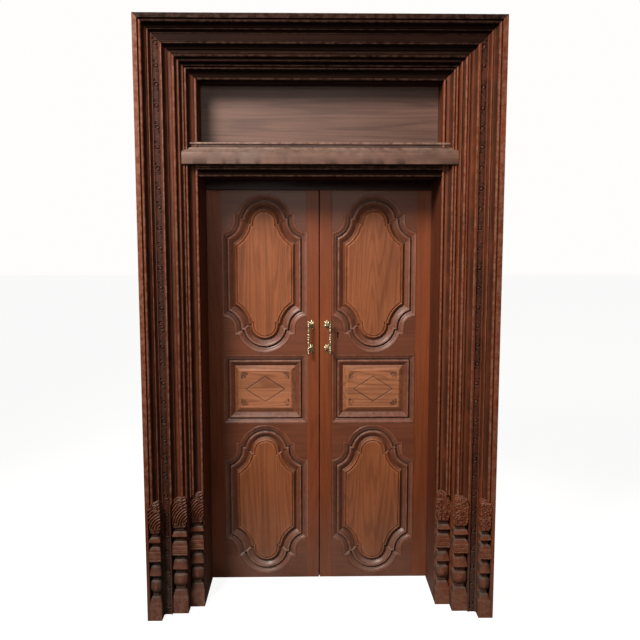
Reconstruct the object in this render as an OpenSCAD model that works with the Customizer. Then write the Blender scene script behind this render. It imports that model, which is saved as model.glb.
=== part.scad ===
// Carved double door of teak in a deep stepped frame with a transom panel over it.
// X runs across the doorway, -Y is the carved front, +Z is up; the origin is on the floor
// at the middle of the overall box. All sizes are in millimetres.

/* [Doorway] */
// Clear width between the two posts
opening_w = 1084; // [900:1:1301]
// Height of the leaves that shows under the lintel's stop
door_h = 1950; // [1620:1:2340]
// How far the stop hangs below the lintel's soffit
stop_drop = 41; // [20:1:60]
// Height of the lintel between doorway and transom
lintel_h = 151; // [140:1:220]
// Clear height of the transom opening
transom_h = 265; // [150:1:400]

/* [Stepped frame] */
// Width of the outer moulding
outer_w = 66; // [60:1:90]
// Width of the vine band
band_w = 37; // [30:1:60]
// Width of the middle moulding
middle_w = 72; // [60:1:100]
// Width of the inner moulding and of the posts behind it
inner_w = 66.5; // [60:0.5:100]
// Depth from the front to the vine band
band_y = 58; // [50:1:80]
// Depth from the front to the foremost bead of the inner moulding
inner_y = 118; // [112:1:130]
// Depth from the front to the face of the posts
post_y = 185; // [180:1:220]
// Depth from the front to the face of the leaves
leaf_y = 419; // [360:1:480]

/* [Feet] */
// Height of the turned part of each carved foot
foot_h = 408; // [360:1:450]
// Height of the foliate crest above it
crest_h = 142; // [100:1:180]
// How far the necks of a foot are cut in
neck_in = 14; // [8:1:16]
// Plain strip left on the outer edge beside the outer foot
foot_margin = 13; // [5:1:16]

/* [Leaves] */
// Thickness of a leaf
leaf_t = 42; // [35:0.1:60]
// Width of a meeting stile
meeting_w = 61; // [50:0.1:90]
// Width of a hinge stile
hinge_w = 84; // [70:1:110]
// Thickness of the board at the back of each panel
board_t = 10; // [8:1:14]
// How far the posts lap over the leaf edges
lap = 18; // [12:1:24]
// Clearance round each leaf
leaf_gap = 3; // [2:0.5:4]
// Clearance under each leaf
floor_gap = 5; // [4:1:12]
// Half of the joint between the leaves at the back
seam_back = 0.2; // [0.2:0.1:1]
// Half of the joint between the leaves at the front
seam_front = 2.6; // [2.6:0.1:4]

/* [Panels] */
// Height of the middle panel
middle_h = 346; // [300:1:380]
// Wood left between the middle panel and the scrolled ones
web = 8; // [6:1:12]
// Wood left under the lowest arch
foot_web = 19; // [12:1:40]
// Wood left over the highest arch
head_web = 57; // [40:1:90]
// Radius of the hollow shoulders of a scrolled panel
shoulder_r = 56; // [40:1:64]
// Width of the ears beside its arches
ear_w = 13; // [10:1:18]
// Straight drop from an ear to the hollow shoulder
ear_drop = 33; // [24:1:40]

/* [Iron and brass] */
// Height of a hinge
hinge_h = 120; // [80:1:150]
// Width of one hinge plate
plate_w = 32; // [24:1:40]
// Thickness of a hinge plate
plate_t = 2.5; // [2:0.5:4]
// Radius of a hinge pin
pin_r = 3; // [2.5:0.1:4]
// Running clearance round pins and bolts
running = 0.05; // [0.02:0.01:0.1]
// Height of the pull handles
handle_h = 168; // [140:1:220]
// Distance from the leaf's face to the axis of a handle's bar
handle_out = 40; // [32:1:55]
// Travel of the lock bolt and of the tower bolt
throw = 22; // [10:1:24]

/* [Hidden] */
$fn = 48;

// Overall sizes
frame_w = outer_w + band_w + middle_w + inner_w;
half_w = opening_w / 2 + frame_w;
soffit_z = door_h + stop_drop;
lintel_top = soffit_z + lintel_h;
opening_top = lintel_top + transom_h;
total_h = opening_top + frame_w;
leaf_back = leaf_y + leaf_t;
hardware_d = 24;
total_d = leaf_back + hardware_d;
front = -total_d / 2;
a_band = outer_w;
a_middle = outer_w + band_w;
a_inner = a_middle + middle_w;

// Members behind the mouldings
outer_back = 150;
band_back = 150;
middle_back = 200;
middle_foot_y = band_y + 8;
inner_foot_y = inner_y + 12;
drawn_foot_h = 408;
strip_lap = 0.8;
tenon_l = 30;
tenon_t = 14;
tenon_edge = 20;
groove_d = 10;
panel_t = 18;
transom_y = 280;
stop_t = 30;
stop_gap = 0.5;
fit_gap = 0.3;

// Leaf levels, measured up from the floor
leaf_edge = opening_w / 2 + lap - leaf_gap;
panel_w = leaf_edge - hinge_w - meeting_w;
panel_x = meeting_w + panel_w / 2;
leaf_top = soffit_z - 4;
cartouche_h = (leaf_top - floor_gap - foot_web - head_web - middle_h) / 2 - web;
lower_mid = floor_gap + foot_web + cartouche_h / 2;
middle_low = lower_mid + cartouche_h / 2 + web;
middle_top = middle_low + middle_h;
upper_mid = middle_top + web + cartouche_h / 2;
ear_x = panel_w / 2 - shoulder_r;
arch_r = ear_x - ear_w;
ear_z = arch_r * 0.664;
shoulder_z = ear_z + ear_drop;
shoulder_reach = cartouche_h / 2 - shoulder_z - shoulder_r;
face_t = leaf_t - board_t;

// Hinge axis, and where the hinges sit
axis_x = opening_w / 2 + lap - leaf_gap / 2;
knuckle_r = pin_r + 2.5;
axis_y = leaf_back + knuckle_r + 0.5;
hinge_z = [200, 1000, leaf_top - 200];
screw_r = 2;
screw_l = 20;
head_r = 4;
head_t = 1.6;

// Lock, keeper, tower bolt and handles
lock_x = 4;
lock_w = 130;
lock_h = 100;
lock_z = (middle_top + web) + 86;
key_x = 91;
key_r = 5;
key_drop = 26;
bolt_w = 12;
bolt_h = 20;
bolt_y = leaf_back + 6;
keeper_w = 32;
tower_x = -meeting_w / 2;
tower_r = 5;
tower_y = leaf_back + 13;
tower_z = leaf_top - 240;
tower_l = 238;
handle_z = middle_top + web + 82;
rosette_x = 38;
bar_x = 53;
boss_z = 57;

teak = [0.36, 0.17, 0.10];
dark_teak = [0.25, 0.12, 0.08];
light_teak = [0.55, 0.30, 0.18];
iron = [0.16, 0.15, 0.15];
brass = [0.62, 0.52, 0.28];

// Points along an arc
function arc(c, r, a0, a1, n = 6) =
  [for (i = [0 : n]) let (a = a0 + (a1 - a0) * i / n) [c[0] + r * cos(a), c[1] + r * sin(a)]];

// Sections of the mouldings: first value across from the member's outer edge, second from the front
function outer_section() = concat(
  [[0, 0], [20, 0], [20, 5]], arc([29, 11], 6, 180, 360), [[36, 14]],
  arc([50, 14], 14, 180, 90), [[50, 34], [52, 34]], arc([54.5, 32], 2.5, 180, 360, 4),
  [[58, 42], [outer_w - 2, band_y], [outer_w, band_y], [outer_w, outer_back], [0, outer_back]]);

function band_section() = [[0, band_y], [2, band_y - 3], [4, band_y], [band_w - 4, band_y],
  [band_w - 2, band_y - 3], [band_w, band_y], [band_w, band_back], [0, band_back]];

function middle_section() = concat(
  [[0, band_y + 2], [1, band_y - 3], [6, band_y - 3]], arc([24, band_y - 3], 16, 180, 90),
  [[26, band_y + 30], [32, band_y + 30], [32, band_y + 22]], arc([49, band_y + 24], 6, 180, 360),
  [[56, band_y + 34]], arc([62, band_y + 34], 5, 180, 90, 3),
  [[middle_w, band_y + 42], [middle_w, middle_back], [0, middle_back]]);

function inner_section() = concat(
  [[0, inner_y + 10], [6, inner_y + 10]], arc([10, inner_y + 4], 4, 180, 360), [[16, inner_y + 10]],
  arc([21, inner_y + 7], 4, 180, 360), [[26, inner_y + 14]], arc([50, inner_y + 14], 22, 180, 90),
  [[52, inner_y + 40], [55, inner_y + 40]], arc([60.5, inner_y + 34], 5, 180, 360),
  [[inner_w, inner_y + 36], [inner_w, post_y], [0, post_y]]);

// Outline of a foot: height and how far it is cut in, from the floor to the crest
function foot_steps(w) = let (k = foot_h / drawn_foot_h, n = neck_in) concat(
  [[0, 0], [82 * k, 0], [84 * k, 2], [110 * k, 9], [112 * k, n], [128 * k, n]],
  [for (p = arc([0, 0], 1, -75, 75, 8)) [(158 + 27 * p[1]) * k, n - 4 - (n - 4) * (p[0] - 0.25) / 0.75]],
  [[188 * k, n], [210 * k, n], [212 * k, 0], [230 * k, 1], [246 * k, 5], [254 * k, 10], [256 * k, n],
   [278 * k, n], [280 * k, 0], [326 * k, 0], [328 * k, 2], [342 * k, 8], [344 * k, n], [364 * k, n],
   [366 * k, 1], [374 * k, 0], [388 * k, 7], [390 * k, n], [406 * k, n], [foot_h, 8],
   [foot_h + crest_h * 0.25, 1], [foot_h + crest_h * 0.7, 0], [foot_h + crest_h, w / 3]]);

// Square-plan foot between two offsets, its face at y0, running back to y1
module foot(x0, x1, y0, y1) {
  steps = foot_steps(x1 - x0);
  n = len(steps) - 1;
  left_side = [for (s = steps) [x0 + s[1], s[0]]];
  right_side = [for (i = [n : -1 : 0]) [x1 - steps[i][1], steps[i][0]]];
  face = [for (s = steps) [y0 + s[1], s[0]]];
  intersection() {
    translate([0, y1, 0]) rotate([90, 0, 0]) linear_extrude(y1 - y0) polygon(concat(left_side, right_side));
    translate([x0, 0, 0]) rotate([90, 0, 90]) linear_extrude(x1 - x0)
      polygon(concat(face, [[y1, foot_h + crest_h], [y1, 0]]));
  }
}

// Keeps what lies on the jamb's side of the corner mitre, for a member starting at offset a
module jamb_mitre(a, w, z0 = 0) {
  translate([0, total_d, 0]) rotate([90, 0, 0]) linear_extrude(total_d + 2)
    polygon([[a, z0], [a, total_h - a], [a + w, total_h - a - w], [a + w, z0]]);
}

// A jamb on the left side: its moulding above, its plain core and carved foot below
module jamb(section, a, w, core_y, back, foot_x0, foot_y) {
  crest_z = foot_h + crest_h - 1;
  translate([-half_w, front, 0]) {
    intersection() {
      translate([a, 0, crest_z]) linear_extrude(total_h) polygon(section);
      jamb_mitre(a, w, crest_z);
    }
    translate([a, core_y, 0]) cube([w, back - core_y, crest_z]);
    if (foot_x0 >= 0) foot(foot_x0, a + w, foot_y, core_y + neck_in);
    if (foot_x0 > a) translate([a, 0, 0]) cube([foot_x0 + strip_lap - a, core_y, crest_z]);
  }
}

// The header over a pair of jambs
module header(section, a, w) {
  translate([-half_w, front, 0]) intersection() {
    translate([0, 0, total_h - a]) rotate([0, 90, 0]) linear_extrude(2 * half_w) polygon(section);
    translate([0, total_d, 0]) rotate([90, 0, 0]) linear_extrude(total_d + 2)
      polygon([[a, total_h - a], [2 * half_w - a, total_h - a],
               [2 * half_w - a - w, total_h - a - w], [a + w, total_h - a - w]]);
  }
}

module outer_jamb() color(teak) jamb(outer_section(), 0, outer_w, band_y, outer_back, foot_margin, 0);
module band_jamb() color(dark_teak) jamb(band_section(), a_band, band_w, band_y, band_back, -1, 0);
module middle_jamb() color(teak)
  jamb(middle_section(), a_middle, middle_w, middle_foot_y + 54, middle_back, a_middle, middle_foot_y);
module inner_jamb() color(teak)
  jamb(inner_section(), a_inner, inner_w, inner_foot_y + 40, post_y, a_inner, inner_foot_y);

// The outer header carries its own plain band, cut from the same timber
module outer_header() color(dark_teak) {
  header(outer_section(), 0, outer_w);
  header(band_section(), a_band, band_w);
}
module middle_header() color(dark_teak) header(middle_section(), a_middle, middle_w);
module inner_header() color(dark_teak) header(inner_section(), a_inner, inner_w);

// Main post: rebated at the back for the leaf, mortised for the lintel, grooved for the transom
module post() color(teak) difference() {
  translate([-opening_w / 2 - inner_w, front + post_y, 0]) cube([inner_w, leaf_back - post_y, opening_top]);
  translate([-opening_w / 2 - lap, front + leaf_y - stop_gap, -1])
    cube([lap + 1, leaf_t + stop_gap + 1, soffit_z + 1]);
  translate([-opening_w / 2 - tenon_l, front + post_y + 60, soffit_z + tenon_edge])
    cube([tenon_l + 1, 2 * tenon_t, lintel_h - 2 * tenon_edge]);
  translate([-opening_w / 2 - groove_d, front + transom_y, lintel_top - groove_d])
    cube([groove_d + 1, panel_t, transom_h + groove_d + 1]);
  for (z = hinge_z) screw_points(z) wood_hole();
}
module left_post() post();
module right_post() mirror([1, 0, 0]) post();

// Lintel with the stop that the leaves close against, and the tower bolt's socket
module lintel() color(dark_teak) difference() {
  union() {
    translate([-opening_w / 2, front + post_y, soffit_z]) cube([opening_w, total_d - post_y, lintel_h]);
    for (s = [-1, 1]) translate([s * (opening_w + tenon_l - 1) / 2, front + post_y + 60 + tenon_t,
      soffit_z + lintel_h / 2]) cube([tenon_l - 1, 2 * tenon_t, lintel_h - 2 * tenon_edge], center = true);
    translate([-opening_w / 2, front + leaf_y - stop_gap - stop_t, door_h])
      cube([opening_w, stop_t, stop_drop + 1]);
  }
  translate([-opening_w / 2 - 1, front + transom_y, lintel_top - groove_d])
    cube([opening_w + 2, panel_t, groove_d + 1]);
  translate([tower_x, front + tower_y, soffit_z - 1]) cylinder(r = tower_r + 1, h = throw + 6);
}
module top_beam() color(dark_teak) difference() {
  translate([-opening_w / 2 - inner_w, front + post_y, opening_top])
    cube([opening_w + 2 * inner_w, leaf_back - post_y, inner_w]);
  translate([-opening_w / 2 - groove_d, front + transom_y, opening_top - 1])
    cube([opening_w + 2 * groove_d, panel_t, groove_d + 1]);
}
module transom_panel() color(light_teak)
  translate([-opening_w / 2 - groove_d + 1, front + transom_y + fit_gap, lintel_top - groove_d])
    cube([opening_w + 2 * groove_d - 2, panel_t - 2 * fit_gap, transom_h + 2 * groove_d - 1]);

// Sill under the transom: a bead, a quirk and a broad sloping face, cut between the inner jambs
sill_low = lintel_top - 99;
sill_face = inner_y - 14;
module across(points, low, high) {
  translate([0, front, 0]) intersection() {
    translate([-opening_w / 2 - inner_w, 0, 0]) rotate([90, 0, 90])
      linear_extrude(opening_w + 2 * inner_w) polygon(points);
    union() {
      translate([-opening_w / 2, 0, low]) cube([opening_w, post_y, high - low]);
      translate([-opening_w / 2 - inner_w, 0, low]) cube([opening_w + 2 * inner_w, inner_y, high - low]);
    }
  }
}
module transom_sill() color(light_teak) across(concat(
  [[sill_face, sill_low], [sill_face, lintel_top - 48], [inner_y + 22, lintel_top - 24],
   [inner_y + 32, lintel_top - 24], [inner_y + 32, lintel_top - 12]],
  arc([inner_y + 33, lintel_top - 6], 6, 270, 90),
  [[post_y, lintel_top], [post_y, sill_low]]), sill_low, lintel_top);

// Moulding over the doorway: two small beads, a hollow and the bead round the opening
module door_head_moulding() color(dark_teak) across(concat(
  [[inner_y + 6, sill_low], [inner_y + 6, sill_low - 6]], arc([inner_y + 10, sill_low - 10], 4, 90, 270),
  arc([inner_y + 14, sill_low - 18], 4, 90, 270), arc([inner_y + 36, sill_low - 22], 18, 180, 270),
  [[inner_y + 36, soffit_z + 9]], arc([inner_y + 34, soffit_z + 4.5], 4.5, 90, 270),
  [[post_y, soffit_z], [post_y, sill_low]]), soffit_z, sill_low);

// Outline of a scrolled panel, drawn in from its edge by t
module cartouche_2d(t) {
  side = panel_w / 2 - t;
  half = cartouche_h / 2;
  arch = arch_r - 1.12 * t;
  ear = half - ear_z - 0.82 * t;
  hollow = shoulder_r + 1.19 * t;
  difference() {
    square([2 * side, 2 * ear], center = true);
    for (x = [-1, 1], z = [-1, 1]) translate([x * panel_w / 2, z * (half - shoulder_z)]) {
      circle(r = hollow);
      translate([0, z * half / 2]) square([2 * hollow, half], center = true);
    }
  }
  for (z = [-1, 1]) {
    intersection() {
      translate([0, z * (half - arch_r)]) circle(r = arch, $fn = 96);
      translate([0, z * (ear + arch)]) square([2 * arch, 2 * arch + 2], center = true);
    }
    if (ear < half - arch_r) translate([0, z * (half - arch_r + ear) / 2])
      square([2 * arch, half - arch_r - ear + 2], center = true);
  }
}
module tablet_2d(t) square([panel_w - 2 * t, middle_h - 2 * t], center = true);

// Extrudes a panel outline from y0 to y1, measured back from the leaf's face, at height z
module relief(z, y0, y1) {
  translate([panel_x, front + leaf_y + y1, z]) rotate([90, 0, 0]) linear_extrude(y1 - y0) children();
}

// Back board with the panel's moulding and raised field in front of it
module panel_body(z, scrolled, z_low, z_high) {
  translate([meeting_w + fit_gap, front + leaf_y + face_t, z_low + fit_gap / 2])
    cube([panel_w - 2 * fit_gap, board_t, z_high - z_low - fit_gap]);
  difference() {
    relief(z, 8, face_t) outline_2d(scrolled, fit_gap);
    relief(z, 7, 16) difference() { outline_2d(scrolled, 55); outline_2d(scrolled, 66); }
  }
  relief(z, 2, 9) difference() { outline_2d(scrolled, 28); outline_2d(scrolled, 55); }
  relief(z, 8, 17) difference() { outline_2d(scrolled, 66); outline_2d(scrolled, 72); }
  relief(z, 2, 9) outline_2d(scrolled, 72);
}
module outline_2d(scrolled, t) if (scrolled) cartouche_2d(t); else tablet_2d(t);

// Lozenge line cut into the middle panel's field
module lozenge_cut() relief((middle_low + middle_top) / 2, 1, 3.5) difference() {
  polygon([[-96, 0], [0, 63], [96, 0], [0, -63]]);
  polygon([[-91, 0], [0, 59.5], [91, 0], [0, -59.5]]);
}

module upper_panel(keyed) color(light_teak) difference() {
  panel_body(upper_mid, true, middle_top, leaf_top);
  if (keyed) keyhole();
}
module middle_panel() color(light_teak) difference() {
  panel_body((middle_low + middle_top) / 2, false, middle_low, middle_top);
  lozenge_cut();
}
module lower_panel() color(light_teak) panel_body(lower_mid, true, floor_gap, middle_low);

// A rail between the stiles, with a tenon at each end and the scrolled panels cut out of it
module rail(z0, z1) color(teak) difference() {
  union() {
    translate([meeting_w, front + leaf_y, z0]) cube([panel_w, face_t, z1 - z0]);
    tenons(z0, z1, fit_gap);
  }
  relief(upper_mid, -1, face_t + 1) cartouche_2d(0);
  relief(lower_mid, -1, face_t + 1) cartouche_2d(0);
}
module tenons(z0, z1, slack) {
  translate([meeting_w - tenon_l + slack, front + leaf_y + 10, z0 + tenon_edge])
    cube([panel_w + 2 * tenon_l - 2 * slack, tenon_t, z1 - z0 - 2 * tenon_edge]);
}
rail_levels = [[upper_mid + shoulder_reach, leaf_top], [middle_top, upper_mid - shoulder_reach],
  [lower_mid + shoulder_reach, middle_low], [floor_gap, lower_mid - shoulder_reach]];
module top_rail() rail(rail_levels[0][0], rail_levels[0][1]);
module upper_rail(keyed) difference() {
  rail(rail_levels[1][0], rail_levels[1][1]);
  if (keyed) keyhole();
}
module lower_rail() rail(rail_levels[2][0], rail_levels[2][1]);
module bottom_rail() rail(rail_levels[3][0], rail_levels[3][1]);

// Keyhole through leaf and lock plate: a round eye over a slot
module keyhole() translate([key_x, front + leaf_y - 1, lock_z + 12]) rotate([-90, 0, 0]) {
  cylinder(r = key_r, h = leaf_t + 6);
  translate([-key_r / 2, 0, 0]) cube([key_r, key_drop, leaf_t + 6]);
}

// Stiles: the hinge stile laps behind the post, the meeting stile's edge is bevelled
module hinge_stile() color(teak) difference() {
  translate([meeting_w + panel_w, front + leaf_y, floor_gap])
    cube([leaf_edge - meeting_w - panel_w, leaf_t, leaf_top - floor_gap]);
  for (r = rail_levels) tenons(r[0], r[1], 0);
  for (z = hinge_z) mirror([1, 0, 0]) screw_points(z, -1) wood_hole();
}
module meeting_stile() color(teak) difference() {
  translate([0, front, floor_gap]) linear_extrude(leaf_top - floor_gap)
    polygon([[seam_front, leaf_y], [meeting_w, leaf_y], [meeting_w, leaf_back], [seam_back, leaf_back]]);
  for (r = rail_levels) tenons(r[0], r[1], 0);
}

// Screw places on the left side's hinge plates: side 1 is the post's, -1 the leaf's
module screw_points(z, side = 1) for (dz = [-1, 0, 1] * hinge_h / 3)
  translate([-axis_x - side * (plate_w - 12), front + leaf_back, z + dz]) rotate([-90, 0, 0]) children();
module wood_hole() translate([0, 0, -screw_l - 1]) cylinder(r = screw_r + running, h = screw_l + 2);
module screw() {
  translate([0, 0, -screw_l]) cylinder(r = screw_r, h = screw_l + plate_t + 0.5);
  translate([0, 0, plate_t]) cylinder(r1 = head_r, r2 = head_r - 1, h = head_t);
}

// One plate of a hinge on the left side: side 1 lies on the post with three knuckles, -1 on the leaf with two
module hinge_plate(z, side) color(iron) {
  pitch = hinge_h / 5;
  gap = 0.3;
  mine = side == 1 ? [0, 2, 4] : [1, 3];
  theirs = side == 1 ? [1, 3] : [0, 2, 4];
  difference() {
    union() {
      translate([-axis_x + (side == 1 ? -plate_w : 0), front + leaf_back, z - hinge_h / 2])
        cube([plate_w, plate_t, hinge_h]);
      for (i = mine) translate([-axis_x, front + axis_y, z - hinge_h / 2 + i * pitch])
        cylinder(r = knuckle_r, h = pitch);
    }
    for (i = theirs) translate([-axis_x, front + axis_y, z - hinge_h / 2 + i * pitch - gap])
      cylinder(r = knuckle_r + 0.8, h = pitch + 2 * gap);
    translate([-axis_x, front + axis_y, z - hinge_h / 2 - 1]) cylinder(r = pin_r + running, h = hinge_h + 2);
    screw_points(z, side) cylinder(r = screw_r + 0.2, h = plate_t * 3, center = true);
  }
}
module hinge_pins() color(iron) for (z = hinge_z) translate([-axis_x, front + axis_y, z - hinge_h / 2]) {
  translate([0, 0, -4]) cylinder(r = pin_r, h = hinge_h + 8);
  for (end = [-4, hinge_h]) translate([0, 0, end]) cylinder(r = pin_r + 1.8, h = 4);
}
module side_screws(side) color(iron) for (z = hinge_z) screw_points(z, side) screw();

// Pull handle: a turned bar on two arms that lean out from leaf-shaped bosses; side is -1 left, 1 right
module handle(side) color(brass) {
  face = front + leaf_y;
  lean = atan((bar_x - rosette_x) / (handle_out - 4));
  reach = sqrt(pow(bar_x - rosette_x, 2) + pow(handle_out - 4, 2));
  translate([side * bar_x, face - handle_out, handle_z - handle_h / 2]) rotate_extrude()
    polygon(concat([[0, 0]], [for (i = [0 : 24]) [4.6 + 1.6 * abs(cos(i * 90)), handle_h * i / 24]],
      [[0, handle_h]]));
  for (s = [-1, 1]) translate([side * rosette_x, face, handle_z + s * boss_z]) {
    rotate([90, 0, 0]) cylinder(r1 = 15, r2 = 12, h = 4);
    translate([0, -4, 0]) rotate([90, 0, 0]) rotate([0, side * lean, 0])
      translate([0, 0, -1]) cylinder(r = 4.5, h = reach);
  }
}

// Rim lock on the back of the right leaf, its bolt shooting towards the left leaf
module lock_case() color(iron) difference() {
  translate([lock_x, front + leaf_back, lock_z - lock_h / 2]) cube([lock_w, hardware_d, lock_h]);
  translate([lock_x - 1, front + bolt_y - running, lock_z - bolt_h / 2 - running])
    cube([60, bolt_w + 2 * running, bolt_h + 2 * running]);
  keyhole();
}
module lock_bolt() color(brass) translate([lock_x + 1, front + bolt_y, lock_z - bolt_h / 2])
  cube([52, bolt_w, bolt_h]);
module bolt_keeper() color(iron) difference() {
  translate([-lock_x - keeper_w, front + leaf_back, lock_z - bolt_h / 2 - 8])
    cube([keeper_w, hardware_d, bolt_h + 16]);
  translate([-lock_x - keeper_w + 4, front + bolt_y - 1, lock_z - bolt_h / 2 - 1])
    cube([keeper_w, bolt_w + 2, bolt_h + 2]);
}

// Tower bolt at the top of the left leaf, shooting up into the lintel
module tower_bolt_guide() color(iron) difference() {
  union() {
    translate([tower_x - 14, front + leaf_back, tower_z]) cube([28, 3, tower_l - 8]);
    for (z = [0, 90, tower_l - 28]) translate([tower_x - 10, front + leaf_back, tower_z + z])
      cube([20, hardware_d, 20]);
  }
  translate([tower_x, front + tower_y, tower_z - 1]) cylinder(r = tower_r + running, h = tower_l + 2);
}
module tower_bolt() color(brass) translate([tower_x, front + tower_y, tower_z]) {
  cylinder(r = tower_r, h = tower_l);
  translate([0, 0, 40]) rotate([-90, 0, 0]) cylinder(r = 4, h = hardware_d - 13);
}

left_post();
right_post();
lintel();
top_beam();
outer_jamb();  // outer_jamb_left
mirror([1, 0, 0]) outer_jamb();  // outer_jamb_right
outer_header();
band_jamb();  // vine_band_left
mirror([1, 0, 0]) band_jamb();  // vine_band_right
middle_jamb();  // middle_jamb_left
mirror([1, 0, 0]) middle_jamb();  // middle_jamb_right
middle_header();
inner_jamb();  // inner_jamb_left
mirror([1, 0, 0]) inner_jamb();  // inner_jamb_right
inner_header();
transom_panel();
transom_sill();
door_head_moulding();
mirror([1, 0, 0]) hinge_stile();  // left_hinge_stile
mirror([1, 0, 0]) meeting_stile();  // left_meeting_stile
mirror([1, 0, 0]) top_rail();  // left_top_rail
mirror([1, 0, 0]) upper_rail(false);  // left_upper_rail
mirror([1, 0, 0]) lower_rail();  // left_lower_rail
mirror([1, 0, 0]) bottom_rail();  // left_bottom_rail
mirror([1, 0, 0]) upper_panel(false);  // left_upper_panel
mirror([1, 0, 0]) middle_panel();  // left_middle_panel
mirror([1, 0, 0]) lower_panel();  // left_lower_panel
hinge_stile();  // right_hinge_stile
meeting_stile();  // right_meeting_stile
top_rail();  // right_top_rail
upper_rail(true);  // right_upper_rail
lower_rail();  // right_lower_rail
bottom_rail();  // right_bottom_rail
upper_panel(true);  // right_upper_panel
middle_panel();  // right_middle_panel
lower_panel();  // right_lower_panel
hinge_plate(hinge_z[0], 1);  // left_frame_hinge_low
hinge_plate(hinge_z[1], 1);  // left_frame_hinge_mid
hinge_plate(hinge_z[2], 1);  // left_frame_hinge_top
mirror([1, 0, 0]) hinge_plate(hinge_z[0], 1);  // right_frame_hinge_low
mirror([1, 0, 0]) hinge_plate(hinge_z[1], 1);  // right_frame_hinge_mid
mirror([1, 0, 0]) hinge_plate(hinge_z[2], 1);  // right_frame_hinge_top
hinge_plate(hinge_z[0], -1);  // left_leaf_hinge_low
hinge_plate(hinge_z[1], -1);  // left_leaf_hinge_mid
hinge_plate(hinge_z[2], -1);  // left_leaf_hinge_top
mirror([1, 0, 0]) hinge_plate(hinge_z[0], -1);  // right_leaf_hinge_low
mirror([1, 0, 0]) hinge_plate(hinge_z[1], -1);  // right_leaf_hinge_mid
mirror([1, 0, 0]) hinge_plate(hinge_z[2], -1);  // right_leaf_hinge_top
hinge_pins();  // left_hinge_pins
mirror([1, 0, 0]) hinge_pins();  // right_hinge_pins
union() { side_screws(1); mirror([1, 0, 0]) side_screws(1); }  // frame_screws
side_screws(-1);  // left_leaf_screws
mirror([1, 0, 0]) side_screws(-1);  // right_leaf_screws
handle(-1);  // left_handle
handle(1);  // right_handle
lock_case();
lock_bolt();
bolt_keeper();
tower_bolt_guide();
tower_bolt();
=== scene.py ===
"""Looks of the carved temple door: worn teak mouldings, carved feet and bands, panels, brass and iron.

Every length is in metres. MM turns a maker's millimetres into metres.
"""
import math

import bmesh
import bpy
import numpy as np
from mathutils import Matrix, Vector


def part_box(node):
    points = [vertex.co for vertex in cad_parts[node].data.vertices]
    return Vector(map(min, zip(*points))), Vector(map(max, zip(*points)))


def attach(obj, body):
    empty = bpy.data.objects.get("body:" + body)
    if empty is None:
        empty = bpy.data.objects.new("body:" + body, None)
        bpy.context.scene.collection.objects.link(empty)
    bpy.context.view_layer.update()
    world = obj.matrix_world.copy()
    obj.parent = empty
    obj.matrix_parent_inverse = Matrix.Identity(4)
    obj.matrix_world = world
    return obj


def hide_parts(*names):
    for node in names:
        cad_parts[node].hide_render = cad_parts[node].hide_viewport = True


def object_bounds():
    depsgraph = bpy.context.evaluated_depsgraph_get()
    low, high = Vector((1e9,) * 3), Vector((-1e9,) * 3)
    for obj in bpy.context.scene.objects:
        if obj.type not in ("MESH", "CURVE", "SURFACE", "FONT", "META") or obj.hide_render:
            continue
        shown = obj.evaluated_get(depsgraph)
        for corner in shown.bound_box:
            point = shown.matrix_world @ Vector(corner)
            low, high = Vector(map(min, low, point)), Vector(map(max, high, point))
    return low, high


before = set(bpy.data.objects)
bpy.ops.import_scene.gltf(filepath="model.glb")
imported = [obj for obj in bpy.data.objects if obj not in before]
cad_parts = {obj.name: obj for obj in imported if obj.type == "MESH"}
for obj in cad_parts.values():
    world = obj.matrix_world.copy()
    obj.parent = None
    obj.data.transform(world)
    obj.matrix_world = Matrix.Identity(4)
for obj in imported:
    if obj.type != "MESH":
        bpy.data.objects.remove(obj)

MM = 0.001
CAD_LOW, CAD_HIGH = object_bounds()

# Places taken from the frame
FRONT = CAD_LOW.y
HALF_W = CAD_HIGH.x
TOP = CAD_HIGH.z
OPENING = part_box("right_post")[0].x
MEMBERS = "outer_jamb_left", "vine_band_left", "middle_jamb_left", "inner_jamb_left"
A_BAND, A_MIDDLE, A_INNER = [HALF_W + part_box(node)[0].x for node in MEMBERS[1:]]
A_END = HALF_W - OPENING
OUTER_BACK, BAND_BACK, MIDDLE_BACK, INNER_BACK = [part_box(node)[1].y - FRONT for node in MEMBERS]
LINTEL_TOP, LINTEL_WORK_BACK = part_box("transom_sill")[1].z, 184 * MM
STILE_LOW, STILE_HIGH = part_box("right_hinge_stile")
LEAF_FACE, LEAF_BACK = STILE_LOW.y, STILE_HIGH.y
MEETING_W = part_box("right_meeting_stile")[1].x
PANEL_W, PANEL_X = STILE_LOW.x - MEETING_W, (STILE_LOW.x + MEETING_W) / 2

# Depths from the front to the band and to the carved feet, their heights, and the cores behind the feet
BAND_Y = 58 * MM
FOOT_MARGIN = 13 * MM
MIDDLE_FOOT_Y, MIDDLE_CORE = 66 * MM, 54 * MM
INNER_FOOT_Y, INNER_CORE = 130 * MM, 40 * MM
FOOT_H, FOOT_ROWS = 408 * MM, 130
CREST_H, CREST_ROWS = 142 * MM, 106

# How deep a moulding's wander reaches, and the width of the outer fillet that is rubbed all over, painted pale as worn
# wood and painted highlight
SEEN_DEPTH = 75 * MM
LIP = 19.6 * MM

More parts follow.
